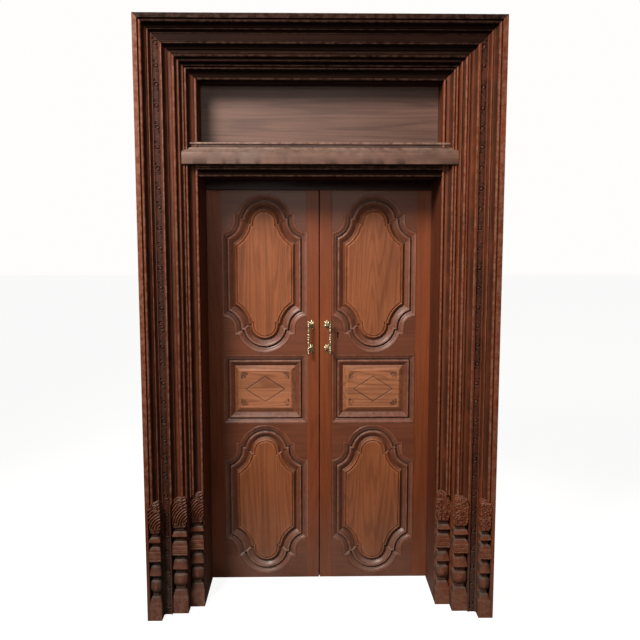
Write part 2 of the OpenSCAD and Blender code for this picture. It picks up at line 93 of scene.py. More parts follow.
# Panels of the leaves
FACE_T = 32 * MM
WEB = 8 * MM
SCROLLED_H = 772 * MM
KEYHOLE_X = 91 * MM
KEYHOLE_DROP = 26 * MM
BOLT_LOW, BOLT_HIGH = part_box("lock_bolt")
KEYHOLE_Z = BOLT_LOW.z + (BOLT_HIGH.z - BOLT_LOW.z) / 2 + 12 * MM
ARCH_R = 137 * MM
EAR_DROP = 91 * MM
SHOULDER_DROP = 124 * MM
SHOULDER_R = 56 * MM
FIT = 0.3 * MM
TOOL_MARK, TOOL_STEP = 0.2 * MM, 24 * MM
BOARD_CHAMFER = 2.4 * MM
LOZENGE_X, LOZENGE_Z, LOZENGE_SLOPE = 96 * MM, 63 * MM, 52 * MM
FAN_R, FAN_RING_R = 40 * MM, 24 * MM

# The handles: bar and leaf plates, out from the middle of the door, out from its face, and up or down
BAR_X, BAR_OUT = 53 * MM, 40 * MM
PLATE_X, PLATE_RISE = 38 * MM, 57 * MM

SIDES = (-1, "left"), (1, "right")


# ---- Numbers that wander

def ease(share):
    """Eases 0..1 so that it starts and stops gently."""
    share = np.clip(share, 0, 1)
    return share * share * (3 - 2 * share)


def ripple(places, step, seed):
    """A smooth wave from -1 to 1: random heights at knots a step apart, eased from one to the next."""
    knots = np.random.default_rng(seed).uniform(-1, 1, 1024)
    place = np.asarray(places) / step + 500.0
    knot = np.floor(place).astype(int)
    share = ease(place - knot)
    return knots[knot % 1024] * (1 - share) + knots[(knot + 1) % 1024] * share


def ripple_2d(x, z, step, seed):
    """The same wave over two directions: random heights on a square lattice, eased both ways."""
    knots = np.random.default_rng(seed).uniform(-1, 1, (256, 256))
    px, pz = np.asarray(x) / step + 500.0, np.asarray(z) / step + 500.0
    kx, kz = np.floor(px).astype(int), np.floor(pz).astype(int)
    sx, sz = ease(px - kx), ease(pz - kz)
    low = knots[kx % 256, kz % 256] * (1 - sx) + knots[(kx + 1) % 256, kz % 256] * sx
    high = knots[kx % 256, (kz + 1) % 256] * (1 - sx) + knots[(kx + 1) % 256, (kz + 1) % 256] * sx
    return low * (1 - sz) + high * sz


# ---- Meshes

class Shells:
    """Grids of points gathered into one mesh, each point with how worn and how hollow it lies."""

    def __init__(self):
        self.points, self.worn, self.hollow, self.faces, self.finish, self.count = [], [], [], [], [], 0

    def grid(self, points, round_columns=False, worn=0.0, hollow=0.0, finish=0):
        """Adds rows x columns points with a quad between neighbours; returns the points' numbers."""
        rows, columns = points.shape[:2]
        numbers = self.count + np.arange(rows * columns).reshape(rows, columns)
        self.count += rows * columns
        i, j = np.meshgrid(np.arange(rows - 1), np.arange(columns if round_columns else columns - 1),
                           indexing="ij")
        after = (j + 1) % columns
        quads = np.stack([numbers[i, j], numbers[i, after], numbers[i + 1, after], numbers[i + 1, j]], -1)
        self.points.append(points.reshape(-1, 3))
        self.worn.append(np.broadcast_to(worn, (rows, columns)).reshape(-1))
        self.hollow.append(np.broadcast_to(hollow, (rows, columns)).reshape(-1))
        self.faces.extend(quads.reshape(-1, 4).tolist())
        self.finish.extend([finish] * (quads.size // 4))
        return numbers

    def cap(self, numbers, finish=0):
        """Closes a loop of points with one face."""
        self.faces.append([int(n) for n in numbers])
        self.finish.append(finish)

    def tube(self, points, worn=0.0, hollow=0.0):
        """A closed shell: rows of closed loops, with a cap on the first and on the last."""
        numbers = self.grid(points, True, worn, hollow)
        self.cap(numbers[0][::-1])
        self.cap(numbers[-1])


def mended(mesh, weld, flatten=False):
    """Merges points closer than weld, joins flat faces if asked, turns faces outwards; returns their finishes."""
    bm = bmesh.new()
    bm.from_mesh(mesh)
    if weld:
        bmesh.ops.remove_doubles(bm, verts=bm.verts, dist=weld)
    if flatten:
        bmesh.ops.dissolve_limit(bm, angle_limit=math.radians(0.5), verts=bm.verts, edges=bm.edges)
    bmesh.ops.recalc_face_normals(bm, faces=bm.faces)
    finish = [face.material_index for face in bm.faces]
    bm.to_mesh(mesh)
    bm.free()
    return finish


def piece(name, shells, materials, body, nodes, sharp=38, weld=False):
    mesh = bpy.data.meshes.new(name)
    mesh.from_pydata(np.concatenate(shells.points).tolist(), [], shells.faces)
    for label, values in (("worn", shells.worn), ("hollow", shells.hollow)):
        layer = mesh.attributes.new(label, "FLOAT", "POINT")
        layer.data.foreach_set("value", np.concatenate(values).astype(np.float32))
    mesh.polygons.foreach_set("material_index", shells.finish)
    finish = mended(mesh, 0.002 * MM if weld else 0)
    declare(name, mesh, materials, body, nodes, sharp)
    mesh.polygons.foreach_set("material_index", [min(n, len(materials) - 1) for n in finish])


def placed(name, data):
    """A new object in the scene, at the origin."""
    item = bpy.data.objects.new(name, data)
    bpy.context.scene.collection.objects.link(item)
    return item


def declare(name, mesh, materials, body, nodes, sharp):
    """Links a finished mesh as a piece that rides on a body and stands for its nodes."""
    mesh.polygons.foreach_set("use_smooth", np.ones(len(mesh.polygons), bool))
    mesh.set_sharp_from_angle(angle=math.radians(sharp))
    mesh.materials.clear()
    for material in materials:
        mesh.materials.append(material)
    item = placed(name, mesh)
    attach(item, body)
    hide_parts(*nodes)
    return item


def eased(node, width, material, body):
    """A copy of a CAD node, merged into whole faces, with its arrises rounded by a bevel."""
    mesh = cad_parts[node].data.copy()
    mended(mesh, 0.01 * MM, True)
    item = declare(node + "_timber", mesh, [material], body, [node], 30)
    bevel = item.modifiers.new("eased arrises", "BEVEL")
    bevel.width, bevel.segments = width, 2
    bevel.limit_method, bevel.angle_limit = "ANGLE", math.radians(35)
    bevel.harden_normals = True


def block(shells, low, high, chamfer):
    """A block with every arris chamfered: four loops of eight points, the end ones drawn in."""
    def loop(inset, z):
        x0, x1, y0, y1 = low[0] + inset, high[0] - inset, low[1] + inset, high[1] - inset
        c = chamfer
        return [(x0 + c, y0, z), (x1 - c, y0, z), (x1, y0 + c, z), (x1, y1 - c, z),
                (x1 - c, y1, z), (x0 + c, y1, z), (x0, y1 - c, z), (x0, y0 + c, z)]
    loops = [loop(chamfer, low[2]), loop(0, low[2] + chamfer), loop(0, high[2] - chamfer), loop(chamfer, high[2])]
    shells.tube(np.array(loops))


# ---- Sections of the mouldings

def arc(across, back, radius, start, stop, count=8, squash=1.0):
    """Points along an arc, in millimetres; squash stretches it in depth."""
    angles = np.radians(np.linspace(start, stop, count + 1))
    return [(across + radius * math.cos(a), back + squash * radius * math.sin(a)) for a in angles]


def section(width, behind, *parts):
    """Joins points and arcs in millimetres into one outline in metres, across then back, closed behind."""
    points = []
    for part in (*parts, (width, behind / MM), (parts[0][0], behind / MM)):
        points.extend(part if isinstance(part, list) else [part])
    return np.array(points, float) * MM


def outer_section():
    """Front fillet, bead, deep hollow, small bead and the slope to the band."""
    return section(66, OUTER_BACK, (0, 9), (0, 0.6), (0.6, 0), (10, 0.2), (19.4, 0), (20, 0.6), (20, 5),
                   arc(29, 11, 6, 180, 360, 12), (36, 14), arc(50, 14, 14, 172, 95, 10, 1.75), (50.4, 43), (52, 43),
                   arc(54.5, 41, 2.5, 180, 360), (58, 46), (61, 52), (64, 57), (66, 58))


def band_edges():
    """The vine band's flat between two fine raised fillets; the flat is close-set for its carving."""
    flat = [(a, 58) for a in np.linspace(4.6, 32.4, 20)]
    return section(37, BAND_BACK, (0, 58), (0.6, 55.2), (3.4, 55.2), (4.2, 57.6), flat, (32.8, 57.6), (33.6, 55.2),
                   (36.4, 55.2), (37, 58))


def middle_section():
    """Fillet, hollow, quirk, round bead, dark groove and a soft inner edge."""
    return section(72, MIDDLE_BACK, (0, 60), (0.6, 55.4), (1.4, 54.6), (6, 54.4), (7, 56),
                   arc(25, 57, 17, 176, 95, 10, 1.6), (24.6, 88), (26, 91), (33, 91), (34, 85), (38, 83.4), (43, 85),
                   arc(49.5, 84.5, 5.6, 180, 360, 12), (56, 93), (58, 97), (61, 98),
                   arc(67, 100, 5, 200, 300, 6), (72, 99))


def inner_section():
    """Two beads side by side, a wide hollow and the bead round the doorway."""
    return section(66.5, INNER_BACK, (0, 128), (1, 126.6), (5.6, 127), arc(10.4, 122.4, 4.3, 180, 360, 10),
                   (15.6, 127.6), (17.4, 127.8), arc(22, 126, 4.1, 180, 360, 10), (27, 133),
                   arc(51, 133, 23, 176, 95, 10), (52, 158), (55.4, 158.4), arc(61, 152, 5.4, 180, 350, 12),
                   (66.5, 154))


def sill_section():
    """Seen from its end, down from the top of the lintel: bead, black quirk, slope and broad face."""
    return section(99, LINTEL_WORK_BACK, (0, 151), arc(6, 151, 6, 180, 360, 10), (12.4, 151.6), (23.6, 152),
                   (24, 141), (26, 138.6), (36, 122.4), (46, 107.4), (48.6, 104.6), (52, 104), (70, 104.4), (96, 104),
                   (98.4, 104.8), (99, 107))


def door_head_section():
    """Two small beads, a cove and the bead over the doorway."""
    return section(151, LINTEL_WORK_BACK, (97, 124), (104.6, 124), arc(109, 128, 4.2, 180, 360, 10), (113.4, 132),
                   arc(117.4, 132, 4, 180, 360, 10), (122, 136.6), arc(139.6, 136.6, 17.4, 176, 94, 8),
                   (142, 156), arc(146.5, 152, 4.6, 180, 340, 10), (151, 155))


def wear_of(outline, reach=9 * MM):
    """Worn is how far a point stands in front of its neighbours, hollow how far it lies behind them."""
    across, back = outline.T
    near = (np.abs(across[:, None] - across) < reach) & (np.abs(back[:, None] - back) < 5 * reach)
    foremost = np.where(near, back, 9).min(1)
    mean = (near * back).sum(1) / near.sum(1)
    return np.clip((mean - back) / (4 * MM), 0, 1), np.clip((back - foremost) / (13 * MM), 0, 1)


def carry(shells, outline, start, end, place, seed, step=7 * MM, relief=None, slack=0.45 * MM, lip=0.0):
    """Carries a closed section from start to end, each given for every point, which cuts the mitres.

    A point's depth = its section's depth + a slow hand-planed wander + nicks on its arrises + the relief.
    The lip is the width of an outer fillet that is rubbed all over, painted pale as worn wood and painted highlight.
    """
    start, end = np.broadcast_to(start, len(outline)), np.broadcast_to(end, len(outline))
    rows = max(2, int(math.ceil(np.max(end - start) / step)) + 1)
    along = start + np.linspace(0, 1, rows)[:, None] * (end - start)
    across = np.broadcast_to(outline[:, 0], along.shape)
    depth = outline[:, 1]
    seen = depth < depth.min() + SEEN_DEPTH
    worn, hollow = wear_of(outline)
    # The outer fillet counts as worn, so it takes the pale colour of rubbed wood and painted highlight.
    worn = np.maximum(worn, np.where((depth < 2 * MM) & (outline[:, 0] < lip), 0.8, 0.0))
    lane = np.arange(len(outline)) * 0.37
    wander = slack * (1 + ripple(along, 0.19, seed) + 0.4 * ripple(along + lane, 0.035, seed + 1))
    nicks = 1.6 * MM * worn * np.clip(ripple(along + lane, 0.016, seed + 2) * 3 - 1.9, 0, 1)
    back = depth + np.where(seen, wander + nicks, 0)
    worn, hollow = np.broadcast_to(worn, along.shape), np.broadcast_to(hollow, along.shape)
    if relief is not None:
        cut = relief(across, along) * seen
        back = back + cut
        # Carved-in parts count as hollow, so they take grime and painted shade.
        worn, hollow = np.clip(worn - cut / (3 * MM), 0, 1), np.clip(hollow + cut / (3 * MM), 0, 1)
    shells.tube(place(across, back, along), worn, hollow)


def on_jamb(side, a):
    """Placer for a jamb: side is -1 left or 1 right, a its offset from the frame's outer edge."""
    return lambda across, back, along: np.stack([side * (HALF_W - a - across), FRONT + back, along], -1)


def on_header(a):
    """Placer for a header at the same offset, running along X."""
    return lambda across, back, along: np.stack([along, FRONT + back, TOP - a - across], -1)


def on_lintel(across, back, along):
    """Placer for what runs over the doorway, measured down from the lintel's top."""
    return np.stack([along, FRONT + back, LINTEL_TOP - across], -1)


# ---- Carved feet

# Height, how far the foot is cut in, roundness of its corners and swell of its face, in millimetres
FOOT_TURNS = np.array([
    (0, 0, 1.5, 0), (76, 0, 1.5, 0), (77.5, 1.8, 2, 0), (80, 1.8, 2, 0), (81.5, 0, 2, 0), (84, 1.2, 3, 0),
    (96, 3.4, 5, 1), (106, 7, 6, 1.5), (110, 10, 5, 1), (112, 14, 4, 0), (129, 14, 4, 0), (131, 10.4, 9, 2),
    (136, 5.6, 12, 3), (143, 2.2, 14, 4), (152, 0.4, 15, 4.5), (162, 0.2, 15, 4.5), (172, 1.6, 14, 4),
    (180, 4.6, 12, 3), (185, 8.8, 9, 2), (188, 14, 4, 0), (209, 14, 4, 0), (211, 2, 4, 1), (213, 0, 5, 1.5),
    (224, 0.2, 8, 3), (236, 1.8, 11, 3.5), (246, 5, 11, 3), (253, 9.6, 9, 2), (256, 14, 4, 0), (277, 14, 4, 0),
    (279, 0.6, 1.5, 0), (284, 0, 1.5, 0), (285, 2, 1.5, 0), (288, 2, 1.5, 0), (289, 0.3, 1.5, 0),
    (302, 0.3, 1.5, 0), (303, 1.6, 1.5, 0), (306, 1.6, 1.5, 0), (307, 0.3, 1.5, 0), (322, 0.3, 1.5, 0),
    (323.5, 2, 1.5, 0), (327, 2, 2, 0), (334, 3.4, 6, 1.5), (340, 7, 8, 1.5), (343, 14, 4, 0), (364, 14, 4, 0),
    (366, 1.6, 3, 0), (370, 0, 3, 0), (377, 1.6, 5, 1), (385, 6, 6, 1), (389, 14, 4, 0), (402, 14, 4, 0),
    (406, 10, 4, 0), (408, 9, 4, 0)]) * MM

# Share of the crest's height, how far its face and its sides are cut in, in millimetres
CREST_TURNS = np.array([(0, 8, 8), (0.1, 5, 4), (0.2, 3, 1), (0.35, 1.6, 0), (0.7, 0.6, 0), (0.88, 1.4, 0), (1, 8, 0)])
CREST_SHOULDER = 0.72

# Ribs and scrolls of a ribbed crest; each scroll's share of the width, height, reach and which way it winds
RIB_PITCH, SCROLL_PITCH = 10.6 * MM, 8.4 * MM
CREST_SCROLLS = (0.56, 120, 15, 1), (0.24, 10, 11, -1), (0.76, 9, 11, 1), (0.88, 96, 8, -1)

# Shares of the width by which the crest's round top is drawn in on its outer and inner side
CREST_LEAN = (0.56, 0.22)


def crest_top(share):
    """Share of the crest's height that its outline reaches, at a share of its width."""
    edge = np.clip(np.maximum(1 - share / CREST_LEAN[0], 1 - (1 - share) / CREST_LEAN[1]), 0, 1)
    return CREST_SHOULDER + (1 - CREST_SHOULDER) * np.sqrt(1 - edge ** 2)


def ribbed_leaf(x, z, width):
    """Curved ribs are rings about the lower inner corner; a scroll winds up at the top and two at the base."""
    reach_out = np.hypot(x - 1.25 * width, 0.8 * (z - 2 * MM)) + 0.8 * MM * ripple(z, 30 * MM, 71)
    wave = np.cos(2 * np.pi * reach_out / RIB_PITCH)
    cut = np.sign(wave) * np.abs(wave) ** 0.6
    for share, height, reach, turn in CREST_SCROLLS:
        from_x, from_z = x - share * width, z - height * MM
        radius = np.hypot(from_x, from_z)
        scroll = np.cos(2 * np.pi * radius / SCROLL_PITCH - turn * np.arctan2(from_z, from_x))
        far = ease((radius - reach * MM) / (3 * MM))
        cut = cut * far + scroll * (1 - far)
    return (2.7 - 2.7 * cut) * MM


def weathered_leaf(x, z, width, seed):
    """Foliage worn soft: lumps of two sizes with creases between them, and what is left of the ribs."""
    lumps = np.abs(ripple_2d(x, z, 8 * MM, seed)) + 0.5 * np.abs(ripple_2d(x, z, 4 * MM, seed + 1))
    ribs = 0.3 * np.cos(2 * np.pi * np.hypot(x + 0.2 * width, z - 20 * MM) / (10 * MM))
    return (4.4 - 5.2 * np.clip(lumps, 0, 0.9) - ribs) * MM


def foot(shells, place, x0, x1, face, core, seed, weathered):
    """A turned and carved foot on a square plan, closed at the core behind it.

    Each row is one height: two sides, two rounded corners and a face that swells and is carved at the crest.
    Above its shoulder the crest is drawn in as a quarter circle, leaning to one side.
    """
    width = x1 - x0
    foot_z = np.unique(np.concatenate([np.linspace(0, FOOT_H, FOOT_ROWS), FOOT_TURNS[:, 0]]))
    crest_z = FOOT_H + np.linspace(0.008, 1, CREST_ROWS) * CREST_H
    z = np.concatenate([foot_z, crest_z])[:, None]
    rise = np.clip((z - FOOT_H) / CREST_H, 0, 1)
    above = z > FOOT_H

    def turned(column, on_crest):
        return np.where(above, on_crest, np.interp(z, FOOT_TURNS[:, 0], FOOT_TURNS[:, column]))

    def crest(column):
        return np.interp(rise, CREST_TURNS[:, 0], CREST_TURNS[:, column]) * MM
    cut_face, cut_side = turned(1, crest(1)), turned(1, crest(2))
    corner, swell = turned(2, 4 * MM), turned(3, 1.5 * MM)
    top = np.clip((rise - CREST_SHOULDER) / (1 - CREST_SHOULDER), 0, 1)
    drawn = np.where(above, width * (1 - np.sqrt(1 - top ** 2)), 0)
    wander = 0.5 * MM * ripple(z + 3 * x0, 0.05, seed)
    left = cut_side + wander + CREST_LEAN[0] * drawn
    right = width - cut_side + 0.6 * wander - CREST_LEAN[1] * drawn
    quarter = np.radians(np.linspace(0, 90, 6))
    round_x, round_y = corner * (1 - np.cos(quarter)), corner * (1 - np.sin(quarter))
    share = np.linspace(0, 1, 40)[1:-1]
    flat_x = left + corner + share * (right - left - 2 * corner)
    flat_y = cut_face + swell * (2 * share - 1) ** 2
    edge_y = cut_face + swell
    across = np.concatenate([left, left, left + round_x, flat_x, right - round_x[:, ::-1], right, right], 1)
    side_y = np.concatenate([0 * z + core - face, (core - face + edge_y + corner) / 2], 1)
    back = np.concatenate([side_y, edge_y + round_y, flat_y, edge_y + round_y[:, ::-1], side_y[:, ::-1]], 1)
    along = np.broadcast_to(z, across.shape)
    up = along - FOOT_H
    carving = weathered_leaf(across, up, width, seed) if weathered else ribbed_leaf(across, up, width)
    fore = ease((core - face - back) / (20 * MM))
    chipped = 0.5 * MM * (1 + ripple_2d(across, along, 9 * MM, seed + 5)) * (1.6 if weathered else 0.6)
    back = back + np.where(above, carving * ease(rise / 0.05), chipped) * fore
    # Carved hollows take grime and painted shade; the crest's ridges take the pale rubbed colour, wear and painted
    # highlight.
    hollow = np.where(above, np.clip(carving / (4.6 * MM) - 0.1, 0, 1), np.clip(back / (11 * MM), 0, 1))
    worn = np.where(above, np.clip(1 - carving / (2.4 * MM), 0, 1), np.clip(0.9 - back / (3 * MM), 0, 1))
    shells.tube(place(x0 + across, face + back, along), worn, hollow)


def jamb(shells, outline, side, a, width, core, back, foot_x0, face, seed):
    """A jamb: its moulding above the crest, its plain core, and the carved foot in front of that."""
    place = on_jamb(side, a)
    share = np.clip((outline[:, 0] - foot_x0) / (width - foot_x0), 0, 1)
    start = FOOT_H + CREST_H * crest_top(share) - 3 * MM
    carry(shells, outline, start, TOP - a - outline[:, 0], place, seed, lip=LIP if a == 0 else 0.0)
    edge, behind = 0.2 * MM, back - MM
    plain = np.array([(edge, core), (width - edge, core), (width - edge, behind), (edge, behind)])
    carry(shells, plain, 0.0, FOOT_H + CREST_SHOULDER * CREST_H, place, seed, 20 * MM)
    if foot_x0 > 0:
        strip = np.array([(0, 0.6 * MM), (0.6 * MM, 0), (foot_x0 - MM, 0), (foot_x0, MM), (foot_x0, core + MM),
                          (0, core + MM)])
        carry(shells, strip, 0.0, FOOT_H + CREST_SHOULDER * CREST_H - MM, place, seed)
    foot(shells, place, foot_x0, width, face, core + 4 * MM, seed + 20, side > 0)


# ---- Vine bands

VINE_PITCH = 86 * MM
VINE_MIDDLE = 18.5 * MM


def vine(seed):
    """Relief of the band: a ringed boss every pitch with a curl above and below it, on a shallow swaying stem."""
    def relief(across, along):
        turn = np.floor(along / VINE_PITCH)
        x = across - VINE_MIDDLE - 1.5 * MM * ripple(turn, 1.0, seed + 3)
        z = along - (turn + 0.5) * VINE_PITCH - 5 * MM * ripple(turn, 1.0, seed)
        inside = ease((13.8 * MM - np.abs(across - VINE_MIDDLE)) / (1.2 * MM))
        radius, angle = np.hypot(x, z), np.arctan2(x, z)
        boss = np.exp(-(np.hypot(1.5 * (x - 1.5 * MM), z) / (5.8 * MM)) ** 4)
        open_side = np.where(turn % 2, 0.6, np.pi + 0.4) + ripple(turn, 1.0, seed + 5)
        ring = np.exp(-((radius - 8.6 * MM) / (2.3 * MM)) ** 4) * ease(1.15 + np.cos(angle - open_side))
        petals = np.exp(-((radius - 12 * MM) / (2.6 * MM)) ** 4) * (0.5 + 0.5 * np.cos(6 * angle))
        curl_x, curl_z = x + np.sign(z) * 5 * MM, np.abs(z) - 20 * MM
        curl = np.hypot(curl_x, curl_z)
        hook = np.exp(-((curl - 4.6 * MM) / (1.7 * MM)) ** 4) * (curl_x * np.sign(z) < 2 * MM)
        stem = np.exp(-((x - 7 * MM * np.sin(2 * np.pi * along / VINE_PITCH)) / (2.4 * MM)) ** 2)
        leaves = 0.5 + 0.5 * np.cos(2 * np.pi * (along + 1.4 * np.abs(x)) / (11 * MM))
        chips = 0.3 * ripple_2d(across, along, 6 * MM, seed) + 0.2 * ripple_2d(across, along, 2.6 * MM, seed + 1)
        raised = 1.4 * boss + 0.8 * petals + 0.6 * stem + 0.8 * leaves
        return inside * (2.4 - raised + 4.6 * ring + 4.0 * hook + 1.4 * chips) * MM
    return relief


# ---- Panels of the leaves

# Distance in from the panel's outline and depth behind the leaf's face, in millimetres
PANEL_RISE = np.array([
    (0.3, 4), (0.9, 4), (1.1, 1.4), (2.4, 0.5), (5, 0.7), (9, 1.9), (13, 4), (15.4, 5.8), (16.4, 7), (17.6, 6.6),
    (20, 7.6), (22.4, 9.2), (23.4, 13), (25, 14), (27.6, 13.8), (28.8, 11), (29.6, 4.4), (30.6, 1.8), (32.4, 0.8),
    (35, 1.2), (39, 3), (43, 6), (47, 9.8), (51, 13.8), (53.6, 16.6), (55.6, 17.2), (57, 16)])
SCROLLED_BEVEL = np.array([(60, 12), (63, 8), (66, 4.2), (68.2, 1.8), (69.4, 1.2), (71, 1.6), (72.2, 4.6), (73.6, 6),
                           (75, 5.6), (76.2, 2.6), (77.4, 1.2), (79, 0.8), (83, 0.9), (88, 1.4)])
TABLET_BEVEL = np.array([(62, 14), (68, 9), (74, 4.8), (79, 2), (81, 1.3), (83, 1.4), (84, 2.2)])


def scrolled_outline(inset):
    """Outline of a scrolled panel drawn in by an inset: round arches, ears, hollow shoulders, straight sides.

    One quarter runs from the top of the arch to the middle of the side, and is mirrored three times.
    """
    half, side = SCROLLED_H / 2, PANEL_W / 2 - inset
    arch, hollow = ARCH_R - 1.12 * inset, SHOULDER_R + 1.19 * inset
    arch_z, ear_z, hollow_z = half - ARCH_R, half - EAR_DROP - 0.82 * inset, half - SHOULDER_DROP
    meet = math.asin(np.clip((ear_z - arch_z) / arch, 0, 1))
    turn = np.linspace(math.pi / 2, meet, 22)
    parts = [np.stack([arch * np.cos(turn), arch_z + arch * np.sin(turn)], 1)]
    arch_end = parts[0][-1]
    parts.append(np.linspace(arch_end, (arch_end[0], ear_z), 4)[1:])
    drop = max(0.0, hollow_z - ear_z)
    ear_x = PANEL_W / 2 - math.sqrt(max(hollow ** 2 - drop ** 2, 0))
    parts.append(np.linspace((arch_end[0], ear_z), (ear_x, ear_z), 6)[1:])
    corner_z = min(ear_z, hollow_z)
    parts.append(np.linspace((ear_x, ear_z), (ear_x, corner_z), 6)[1:])
    first = math.atan2(corner_z - hollow_z, ear_x - PANEL_W / 2) % (2 * math.pi)
    last = math.pi + math.acos(min(1.0, inset / hollow))
    bend = np.linspace(first, last, 18)[1:]
    parts.append(np.stack([PANEL_W / 2 + hollow * np.cos(bend), hollow_z + hollow * np.sin(bend)], 1))
    parts[-1][-1, 0] = side
    parts.append(np.linspace(parts[-1][-1], (side, 0), 16)[1:])
    quarter = np.concatenate(parts)
    right = np.concatenate([quarter, quarter[-2::-1] * (1, -1)])
    return np.concatenate([right, right[-2:0:-1] * (-1, 1)])


TABLET_ROWS, TABLET_COLUMNS = 89, 121


def tablet_outline(inset, half_z):
    """Outline of the middle panel drawn in by an inset, as evenly spaced points round a rectangle."""
    x, z = PANEL_W / 2 - inset, half_z - inset
    level = np.linspace(-x, x, TABLET_COLUMNS)
    upright = np.linspace(-z, z, TABLET_ROWS)
    sides = [(level[:-1], -z), (x, upright[:-1]), (level[:0:-1], z), (-x, upright[:0:-1])]
    return np.concatenate([np.stack(np.broadcast_arrays(px, pz), 1) for px, pz in sides])


def tablet_carving(x, z, half_x, half_z):
    """The tablet's field: a lozenge line and a fluted fan in each corner, cut a millimetre or two deep."""
    lozenge = np.abs(np.abs(x) / LOZENGE_X + np.abs(z) / LOZENGE_Z - 1) * LOZENGE_SLOPE
    line = 1.7 * np.exp(-(lozenge / (1.9 * MM)) ** 4)
    corner_x, corner_z = half_x - np.abs(x), half_z - np.abs(z)
    radius, angle = np.hypot(corner_x, corner_z), np.arctan2(corner_z, corner_x)
    fan = ease((FAN_R - radius) / (2 * MM)) * ease((np.minimum(corner_x, corner_z) - 3 * MM) / MM)
    flutes = (0.9 + 0.6 * np.cos(14 * angle)) * ease((radius - 8 * MM) / (4 * MM))
    ring = 0.8 * np.exp(-((radius - FAN_RING_R) / (1.6 * MM)) ** 2)
    patches = ease(ripple_2d(x, z, 22 * MM, 61) * 2 + 0.9)
    fluting = fan * (flutes + ring) * patches
    return (line + fluting + 0.12 * (1 + ripple_2d(x, z, 60 * MM, 62))) * MM


def panel(name, side, node, materials, body, scrolled, middle_z, half_z, seed):
    """A raised panel: its moulding is carried inwards from its outline to the field, over its back board."""
    shells = Shells()
    rise = np.concatenate([PANEL_RISE, SCROLLED_BEVEL if scrolled else TABLET_BEVEL]) * MM
    outlines = [scrolled_outline(t) if scrolled else tablet_outline(t, half_z) for t in rise[:, 0]]
    loops = np.array([outlines[0]] + outlines)
    depth = np.concatenate([[FACE_T + MM], rise[:, 1]])[:, None]
    worn, hollow = wear_of(rise, 7 * MM)
    # The panel's outer wall, down in the gap, counts as fully hollow: it takes grime and painted shade.
    worn, hollow = np.concatenate([[0], worn])[:, None], np.concatenate([[1], hollow])[:, None]

    def put(x, z, y):
        tool = TOOL_MARK * ripple_2d(x, z, TOOL_STEP, seed)
        return np.stack([side * (PANEL_X + x), LEAF_FACE + y + tool, middle_z + z], -1)

    def moulded(rows, finish):
        return shells.grid(put(loops[rows, :, 0], loops[rows, :, 1], depth[rows]), True, worn[rows], hollow[rows],
                           finish)
    bevel = len(PANEL_RISE)
    shells.cap(moulded(slice(bevel + 1), 0)[0])
    moulded(slice(bevel, None), 1)
    if scrolled:
        shrink = np.linspace(1, 0.02, 9)[:, None, None]
        field = loops[-1] * shrink
        cup = rise[-1, 1] + 0.5 * MM * (1 - shrink[..., 0])
        numbers = shells.grid(put(field[..., 0], field[..., 1], cup), True, finish=1)
        shells.cap(numbers[-1], finish=1)
    else:
        half_x, half_f = PANEL_W / 2 - rise[-1, 0], half_z - rise[-1, 0]
        x, z = np.meshgrid(np.linspace(-half_x, half_x, TABLET_COLUMNS), np.linspace(-half_f, half_f, TABLET_ROWS))
        cut = tablet_carving(x, z, half_x, half_f)
        edge = np.minimum(half_x - np.abs(x), half_f - np.abs(z))
        cut = cut * (edge > 0.1 * MM)
        # The cut lozenge and fans count as hollow: grime and painted shade.
        shells.grid(put(x, z, rise[-1, 1] + cut), False, 0.0, np.clip(cut / (1.6 * MM), 0, 1), finish=1)
    low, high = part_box(node)
    block(shells, (low.x, LEAF_FACE + FACE_T, low.z), (high.x, LEAF_BACK - 0.2 * MM, high.z), BOARD_CHAMFER)
    piece(name, shells, materials, body, [node], 32, weld=True)


# ---- Brass handles

# Beads along the handle's bar: distance from its middle and half length in millimetres, and fullness
HANDLE_BEADS = ((0, 5, 0.85), (12, 5.5, 1), (30, 12, 0.9), (46, 3.6, 0.75), (54, 4.4, 1), (63, 4.2, 1),
                (71, 3.4, 0.85), (78, 3.4, 0.95))


def full_turn(count):
    """Angles spaced evenly round a circle."""
    return np.linspace(0, 2 * np.pi, count, endpoint=False)


def lathe(shells, x, y, heights, radii, worn, sides=20):
    """Turned work about an upright axis: one ring for each height, closed at both ends."""
    turn = full_turn(sides)
    ring_x, ring_y = x + radii[:, None] * np.cos(turn), y + radii[:, None] * np.sin(turn)
    shells.tube(np.stack([ring_x, ring_y, np.broadcast_to(heights[:, None], ring_x.shape)], -1), worn[:, None],
                1 - worn[:, None])


def rod(shells, path, radii, sides=16):
    """A round bar carried along a path in one level plane, its rings square to the path."""
    ahead = np.gradient(path, axis=0)
    ahead /= np.linalg.norm(ahead, axis=1)[:, None]
    level = np.cross(ahead, (0, 0, 1))
    level /= np.linalg.norm(level, axis=1)[:, None]
    up = np.cross(level, ahead)
    turn = full_turn(sides)[None, :, None]
    ring = np.cos(turn) * level[:, None] + np.sin(turn) * up[:, None]
    shells.tube(path[:, None] + radii[:, None, None] * ring)


def leaf_plate(shells, x, z, upward):
    """A domed leaf on the door's face: the rim is a seven-lobed curve, the veins are folds along its angles."""
    share, turn = np.linspace(0.02, 1, 16)[:, None], full_turn(90)
    folds = np.cos(7 * (turn - upward * np.pi / 2))
    rim = (13.6 + 2.6 * folds + 0.6 * np.cos(14 * turn)) * MM
    stretch = 1.46 + 0.2 * upward * np.sin(turn)
    across = share * rim * np.cos(turn)
    height = share * rim * np.sin(turn) * stretch
    dome = (4.6 * (1 - share ** 2.4) + 1.2 + 1.5 * share * (1 - share) * 4 * folds) * MM
    dome = np.where(share > 0.99, 0.8 * MM, dome)
    rows = [np.stack([x + across, LEAF_FACE - dome, z + height], -1)]
    rows.append(np.stack([x + across[-1:], np.full_like(across[-1:], LEAF_FACE + 0.5 * MM), z + height[-1:]], -1))
    sunk = np.concatenate([np.clip(0.5 - 0.7 * folds, 0, 1) * np.sqrt(share), np.ones((1, len(turn)))])
    shells.tube(np.concatenate(rows), worn=1 - sunk, hollow=sunk)


